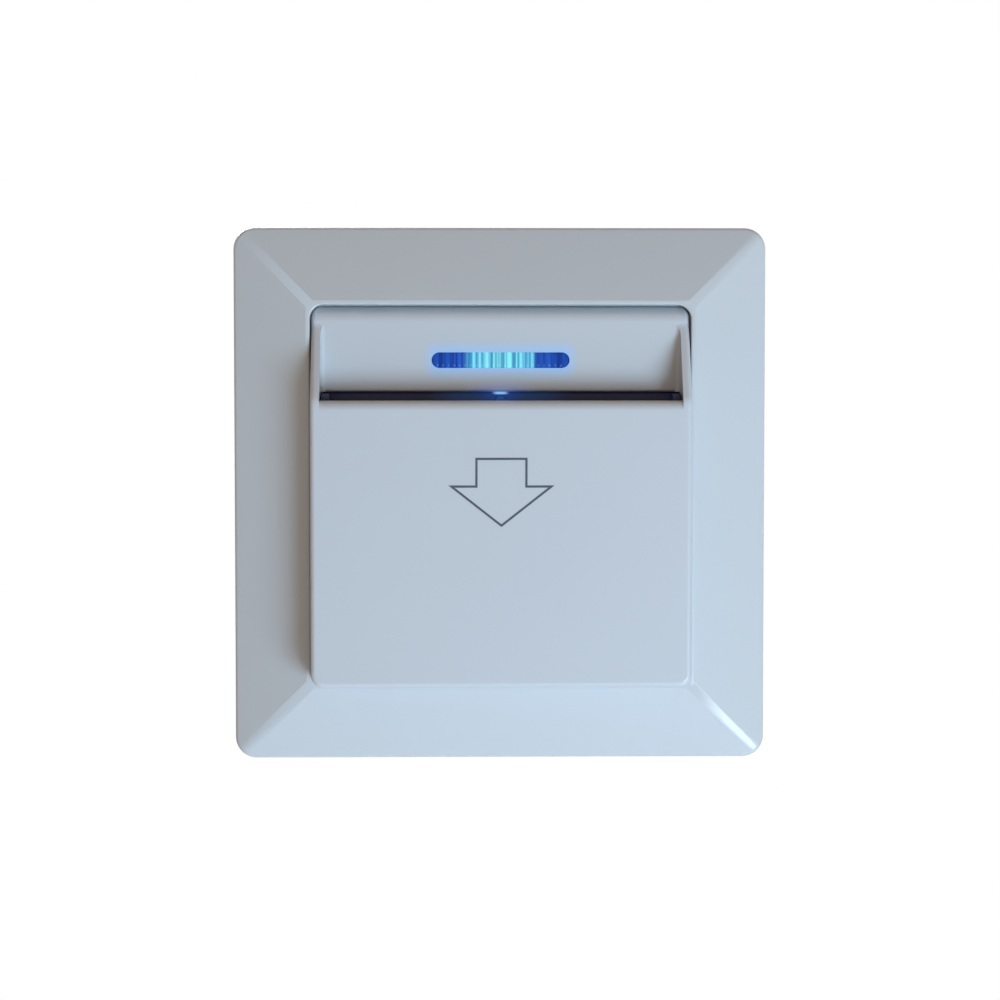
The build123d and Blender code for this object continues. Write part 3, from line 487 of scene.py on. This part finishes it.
def finish_cad(piece, material, softness):
    """Material, welded facets, soft edges of a width in mm, and shading that follows the flats."""
    for slot in piece.material_slots:
        slot.material = material
    if not piece.material_slots:
        piece.data.materials.append(material)
    piece.data.shade_smooth()
    weld = piece.modifiers.new("weld", "WELD")
    weld.merge_threshold = WELD_DISTANCE
    flat = piece.modifiers.new("flat", "DECIMATE")
    flat.decimate_type = "DISSOLVE"
    flat.angle_limit = FLAT_ANGLE
    edge = piece.modifiers.new("edge", "BEVEL")
    edge.width = softness * MM
    edge.segments = 2
    edge.limit_method = "ANGLE"
    edge.angle_limit = EDGE_ANGLE
    edge.harden_normals = True
    shading = piece.modifiers.new("shading", "WEIGHTED_NORMAL")
    shading.keep_sharp = True


for name, piece in nodes.items():
    finish_cad(piece, materials[slot_of[name]], SOFTENED.get(name, SOFTENED_OTHERWISE))
print(len(nodes), "CAD pieces finished")

# %% [markdown]
# ## The light bar
#
# The bar is a loft along X. At each place its height follows the round ends, h(x) = sqrt(r^2 -
# max(0, |x| - L)^2), and its face carries fine upright ribs and falls off towards its long edges, so
# its front lies at y(x, s) = front + a (1 + cos(2 pi x / p)) / 2 + c s^4, where s runs from -1 to 1
# over the height. A wider bar without ribs, behind the recess floor, is its flange.

# %% Build the light bar
BAR_HALF = 10.95 * MM
BAR_RADIUS = 1.15 * MM
BAR_INSET = 0.1 * MM
RIB_HEIGHT = 0.10 * MM
EDGE_FALL = 0.15 * MM
WINDOW_SKIN = 0.8 * MM
TIP_SHARE = 0.02
END_STEPS, MIDDLE_STEPS, HEIGHT_STEPS = 30, 420, 15


def light_bar(name, half_length, radius, front, back, rib_pitch, rib_height):
    """A closed bar with round ends and a softly crowned, ribbed face towards the room. Its height
    never falls below a small share of the radius, so that its ends stay closed."""
    straight = half_length - radius
    turn = np.linspace(0, 1, END_STEPS) * np.pi / 2
    middle = np.linspace(-straight, straight, MIDDLE_STEPS)[1:-1]
    x = np.concatenate([-straight - radius * np.cos(turn), middle, straight + radius * np.sin(turn)])
    past = np.maximum(np.abs(x) - straight, 0)
    tall = np.sqrt(np.maximum(radius**2 - past**2, (TIP_SHARE * radius) ** 2))
    across = np.linspace(-1, 1, HEIGHT_STEPS)
    ribs = rib_height * (1 + np.cos(2 * np.pi * x / rib_pitch)) / 2
    face_y = front + ribs[:, None] + EDGE_FALL * across[None, :] ** 4
    face_x = np.broadcast_to(x[:, None], face_y.shape)
    face = np.stack([face_x, face_y, BAR_LEVEL + tall[:, None] * across[None, :]], axis=-1)
    rear = face[:, ::-1].copy()
    rear[..., 1] = back
    points = np.concatenate([face, rear], axis=1)
    rows, columns = points.shape[:2]
    return mesh_object(name, points.reshape(-1, 3), tube_faces(rows, columns))


low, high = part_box("led_lens")
bar = light_bar("light_bar", BAR_HALF, BAR_RADIUS, low[1] + BAR_INSET, high[1], RIB_PITCH, RIB_HEIGHT)
flange = light_bar("light_bar_flange", (high[0] - low[0]) / 2, (high[2] - low[2]) / 2,
                   low[1] + WINDOW_SKIN, high[1], rib_pitch=1.0, rib_height=0.0)
for piece in (bar, flange):
    piece.data.materials.append(materials["blue_lens"])
    smooth(piece, 50)
    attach(piece, "cover")
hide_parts("led_lens")
print("light bar:", len(bar.data.vertices), "points")

# %% [markdown]
# ## The dust lip
#
# A thin white lip inside the frame's window closes most of the fine gap round the module. Its
# outline is a square with round corners: the corner's centre plus its radius times the unit
# direction.

# %% Build the dust lip
LIP_INSIDE = 30.28 * MM
LIP_OUTSIDE = 30.56 * MM
LIP_CORNER = 2.03 * MM
LIP_FRONT = -6.4 * MM
LIP_REAR = -5.4 * MM
CORNER_STEPS = 12


def round_square(half, corner):
    """Points (x, z) of a square outline with round corners."""
    turn = np.linspace(0, np.pi / 2, CORNER_STEPS)
    arcs = []
    for quarter, (sx, sz) in enumerate(((1, 1), (-1, 1), (-1, -1), (1, -1))):
        angle = turn + quarter * np.pi / 2
        arcs.append(np.stack([sx * (half - corner) + corner * np.cos(angle),
                              sz * (half - corner) + corner * np.sin(angle)], axis=1))
    return np.concatenate(arcs)


def window_ring(name, inside, outside, corner, front, rear):
    """A flat ring between two round squares and two depths."""
    loops = []
    for half, y in ((inside, front), (outside, front), (outside, rear), (inside, rear)):
        flat = round_square(half, corner + half - inside)
        loops.append(np.stack([flat[:, 0], np.full(len(flat), y), flat[:, 1]], axis=1))
    columns = len(loops[0])
    points = np.concatenate(loops + loops[:1])
    piece = mesh_object(name, points, tube_faces(len(loops) + 1, columns, cap=False))
    close_up(piece)
    return piece


dust_lip = window_ring("dust_lip", LIP_INSIDE, LIP_OUTSIDE, LIP_CORNER, LIP_FRONT, LIP_REAR)
dust_lip.data.materials.append(materials["frame_plastic"])
smooth(dust_lip, 40)
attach(dust_lip, "frame")
print("dust lip:", len(dust_lip.data.vertices), "points")

# %% [markdown]
# ## The printed arrow
#
# A thin dark line follows the outline of an arrow that points down into the pocket. The line is two
# copies of the outline, one moved out and one moved in by half its width, joined by faces.

# %% Print the arrow
def outline_print(name, corners, width, y):
    """A flat line of a width along a closed outline at depth y. Its (x, z) corners run clockwise as
    seen from the room, so the edge normals point inward and the faces towards the room. Each corner
    moves along the sum of its two edge normals divided by 1 + their dot product."""
    p = np.asarray(corners, float)
    edge = np.roll(p, -1, axis=0) - p
    normal = np.stack([edge[:, 1], -edge[:, 0]], axis=1) / np.linalg.norm(edge, axis=1)[:, None]
    before = np.roll(normal, 1, axis=0)
    mitre = (normal + before) / (1 + np.sum(normal * before, axis=1))[:, None]
    inner = p + mitre * width / 2
    outer = p - mitre * width / 2
    rings = np.concatenate([inner, outer])
    points = np.stack([rings[:, 0], np.full(len(rings), y), rings[:, 1]], axis=1)
    n = len(p)
    faces = [(i, (i + 1) % n, n + (i + 1) % n, n + i) for i in range(n)]
    return mesh_object(name, points, faces)


ARROW = [(-3.95, 6.07), (3.95, 6.07), (3.95, 1.69), (7.9, 1.69), (0.0, -4.5), (-7.9, 1.69), (-3.95, 1.69)]
LINE_WIDTH = 0.36 * MM
INK_DEPTH = -15.015 * MM
INK_FINISH = ((0.055, 0.075, 0.10), 0, 0.45, 0.10, 0.10, 9000, 0.20)
arrow = outline_print("printed_arrow", np.array(ARROW) * MM, LINE_WIDTH, INK_DEPTH)
ink = new_material("ink", INK_FINISH)[0]
arrow.data.materials.append(ink)
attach(arrow, "cover")
print("arrow corners:", len(ARROW))

# %% [markdown]
# ## Screws
#
# Each screw is a grid in polar coordinates: a profile of radii and heights turned about its axis. The
# head's top falls off as h = H (1 - 0.35 s^4), where s runs from 0 at its centre to 1 at its rim, and
# drops to 0.35 h in the recess: |v| < w and |u| < l, and for a cross also |u| < w and |v| < l. The
# shank carries a helix, r = R (0.82 + 0.16 (1 + cos(angle - 2 pi y / pitch)) / 2), and tapers over its
# last four rows.

# %% Build the screws
THREAD_PITCH = 0.45 * MM
ROW_STEP = 0.08 * MM
CORE_SHARE, THREAD_SHARE = 0.82, 0.16
RIM_FALL, RECESS_HEIGHT = 0.35, 0.35
TURN_STEPS, HEAD_STEPS, TIP_ROWS = 96, 40, 4


def small_screw(name, x, z, seat, way, length, head_radius, head_height, thread_radius, recess):
    """A pan head screw whose head stands on the depth seat. way is 1 where the shank points into the
    wall and -1 where it points to the room. recess is the half width and half length of its bars,
    and their number: 2 for a cross and 1 for a slot."""
    angle = np.linspace(0, 2 * np.pi, TURN_STEPS, endpoint=False)
    top = np.linspace(0.0, 1.0, HEAD_STEPS)
    head_r = head_radius * top
    head_h = head_height * (1 - RIM_FALL * top**4)
    u = head_r[:, None] * np.cos(angle)
    v = head_r[:, None] * np.sin(angle)
    half_width, half_length, bars = recess
    along = np.abs(u) < half_length
    arm = (np.abs(v) < half_width) & along
    if bars == 2:
        arm |= (np.abs(u) < half_width) & (np.abs(v) < half_length)
    head = np.stack([u, np.where(arm, head_h[:, None] * RECESS_HEIGHT, head_h[:, None]), v], axis=-1)
    depth = -length * np.linspace(0.0, 1.0, int(length / ROW_STEP))
    wave = (1 + np.cos(angle[None, :] - 2 * np.pi * depth[:, None] / THREAD_PITCH)) / 2
    radius = thread_radius * (CORE_SHARE + THREAD_SHARE * wave)
    radius[-TIP_ROWS:] *= np.linspace(0.95, 0.6, TIP_ROWS)[:, None]
    shank_y = np.broadcast_to(depth[:, None], radius.shape)
    shank = np.stack([radius * np.cos(angle), shank_y, radius * np.sin(angle)], axis=-1)
    rim = np.stack([head_radius * np.cos(angle), np.zeros_like(angle), head_radius * np.sin(angle)], axis=-1)
    points = np.concatenate([head, rim[None], shank])
    points[..., 1] = seat - way * points[..., 1]
    points[..., 0] += x
    points[..., 2] += z
    rows, columns = points.shape[:2]
    piece = mesh_object(name, points.reshape(-1, 3), tube_faces(rows, columns))
    close_up(piece)
    piece.data.materials.append(materials["zinc_steel"])
    smooth(piece, 30)
    return piece


def joined(name, pieces):
    """Several objects as one."""
    with bpy.context.temp_override(active_object=pieces[0], selected_editable_objects=pieces):
        bpy.ops.object.join()
    pieces[0].name = name
    return pieces[0]


# %% [markdown]
# The small screws of one CAD node become one object. The table gives, in mm, their places (x, z), the
# depth that their heads stand on, the way that they point and their length below the head.

# %% Place the screws
SMALL_SCREWS = {
    "liner_screws": ([(s * 26.6, z) for s in (-1, 1) for z in (12.0, -22.0)], -1.4, -1, 5.0),
    "housing_screws": ([(s * 16.0, t * 26.9) for s in (-1, 1) for t in (-1, 1)], -3.9, 1, 3.6),
    "reader_board_screws": ([(-19.8, 12.0), (19.8, -19.8)], -4.4, -1, 3.2),
    "power_board_screws": ([(s * 19.7, 19.7) for s in (-1, 1)], 5.0, 1, 6.0),
}
TERMINAL_X = (-15.0, -5.0, 5.0, 15.0)
TERMINAL_Z = -18.0
TERMINAL_SEAT = 20.2
CROSS = (0.28 * MM, 1.05 * MM, 2)
SLOT = (0.4 * MM, 2.2 * MM, 1)
for name, (places, seat, way, length) in SMALL_SCREWS.items():
    group = [small_screw(name + "_" + str(number), x * MM, z * MM, seat * MM, way, length * MM,
                         head_radius=1.6 * MM, head_height=1.2 * MM, thread_radius=1.0 * MM, recess=CROSS)
             for number, (x, z) in enumerate(places)]
    whole = joined(name + "_finished", group)
    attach(whole, "root")
    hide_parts(name)
for number, x in enumerate(TERMINAL_X, start=1):
    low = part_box("terminal_screw_" + str(number))[0]
    head = small_screw("terminal_screw_finished_" + str(number), x * MM, TERMINAL_Z * MM,
                       TERMINAL_SEAT * MM, -1, TERMINAL_SEAT * MM - low[1],
                       head_radius=2.6 * MM, head_height=2.0 * MM, thread_radius=1.5 * MM, recess=SLOT)
    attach(head, "screw_" + str(number))
    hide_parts("terminal_screw_" + str(number))
print("screws:", sum(len(row[0]) for row in SMALL_SCREWS.values()) + len(TERMINAL_X))
